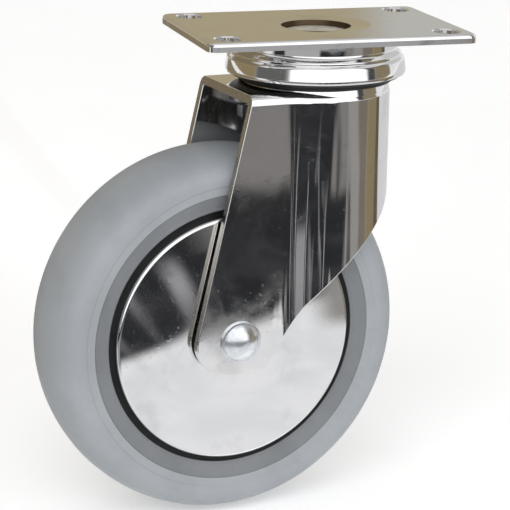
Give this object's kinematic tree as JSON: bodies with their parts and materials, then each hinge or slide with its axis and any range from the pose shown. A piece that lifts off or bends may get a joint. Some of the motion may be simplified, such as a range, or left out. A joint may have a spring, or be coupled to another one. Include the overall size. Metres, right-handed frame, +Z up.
{
  "type": "swivel plate caster",
  "caption": "Swivel caster with a slotted rectangular top plate, a chromed pressed fork and one large grey rubber wheel on ball bearings, for the free end of a gate or a trolley.",
  "frame": {"origin": "centre of the top plate's upper face, on the swivel axis", "axes": "+Z up along the swivel axis, out of the plate; Y along the plate's long side; X along its short side. The wheel trails towards -Y and is swivelled 7.9 degrees about +Z at rest."},
  "size_m": [0.064, 0.1448, 0.165],
  "materials": {
    "chrome_plate": "bright nickel-chrome plating on pressed steel, lightly smudged",
    "zinc_steel": "bright zinc plating on turned or cold-formed steel",
    "bearing_steel": "ground and lapped bearing steel",
    "grey_rubber": "satin light-grey non-marking rubber",
    "black_plastic": "black moulded plastic, satin",
    "seal_rubber": "black rubber",
    "cage_plastic": "natural nylon"
  },
  "bodies": {
    "mount": {"top_plate": "chrome_plate", "swivel_cap": "chrome_plate", "dust_seal": "seal_rubber", "upper_race": "bearing_steel", "kingpin": "zinc_steel", "swivel_spacer": "zinc_steel", "lower_cup": "bearing_steel", "kingpin_nut": "zinc_steel"},
    "swivel_fork": {"fork": "chrome_plate", "crown_race": "bearing_steel", "fork_lower_race": "bearing_steel", "axle_bolt": "chrome_plate", "axle_sleeve": "zinc_steel", "axle_washer": "zinc_steel", "axle_nut": "zinc_steel", "near_spacer": "zinc_steel", "far_spacer": "zinc_steel", "near_inner_race": "bearing_steel", "far_inner_race": "bearing_steel"},
    "wheel": {"tyre": "grey_rubber", "wheel_core": "black_plastic", "near_cover": "chrome_plate", "far_cover": "chrome_plate", "near_outer_race": "bearing_steel", "far_outer_race": "bearing_steel", "near_shield": "seal_rubber", "far_shield": "seal_rubber"},
    "upper_ball_ring": {"upper_balls": "bearing_steel"},
    "lower_ball_ring": {"lower_balls": "bearing_steel"},
    "near_ball_set": {"near_balls": "bearing_steel", "near_cage": "cage_plastic"},
    "far_ball_set": {"far_balls": "bearing_steel", "far_cage": "cage_plastic"}
  },
  "joints": [
    {"name": "swivel", "type": "hinge", "parent": "mount", "child": "swivel_fork", "pos_m": [0, 0, 0], "axis": [0, 0, 1], "continuous": true},
    {"name": "upper_ball_orbit", "type": "hinge", "parent": "mount", "child": "upper_ball_ring", "pos_m": [0, 0, -0.0113], "axis": [0, 0, 1], "continuous": true},
    {"name": "lower_ball_orbit", "type": "hinge", "parent": "mount", "child": "lower_ball_ring", "pos_m": [0, 0, -0.0274], "axis": [0, 0, 1], "continuous": true},
    {"name": "wheel_spin", "type": "hinge", "parent": "swivel_fork", "child": "wheel", "pos_m": [0.00495, -0.03566, -0.10175], "axis": [0.9905, 0.1374, 0], "continuous": true},
    {"name": "near_ball_orbit", "type": "hinge", "parent": "swivel_fork", "child": "near_ball_set", "pos_m": [0.00495, -0.03566, -0.10175], "axis": [0.9905, 0.1374, 0], "continuous": true},
    {"name": "far_ball_orbit", "type": "hinge", "parent": "swivel_fork", "child": "far_ball_set", "pos_m": [0.00495, -0.03566, -0.10175], "axis": [0.9905, 0.1374, 0], "continuous": true}
  ],
  "couplings": [
    {"joint": "upper_ball_orbit", "follows": "swivel", "ratio": 0.5},
    {"joint": "lower_ball_orbit", "follows": "swivel", "ratio": 0.5},
    {"joint": "near_ball_orbit", "follows": "wheel_spin", "ratio": 0.63222},
    {"joint": "far_ball_orbit", "follows": "wheel_spin", "ratio": 0.63222}
  ]
}
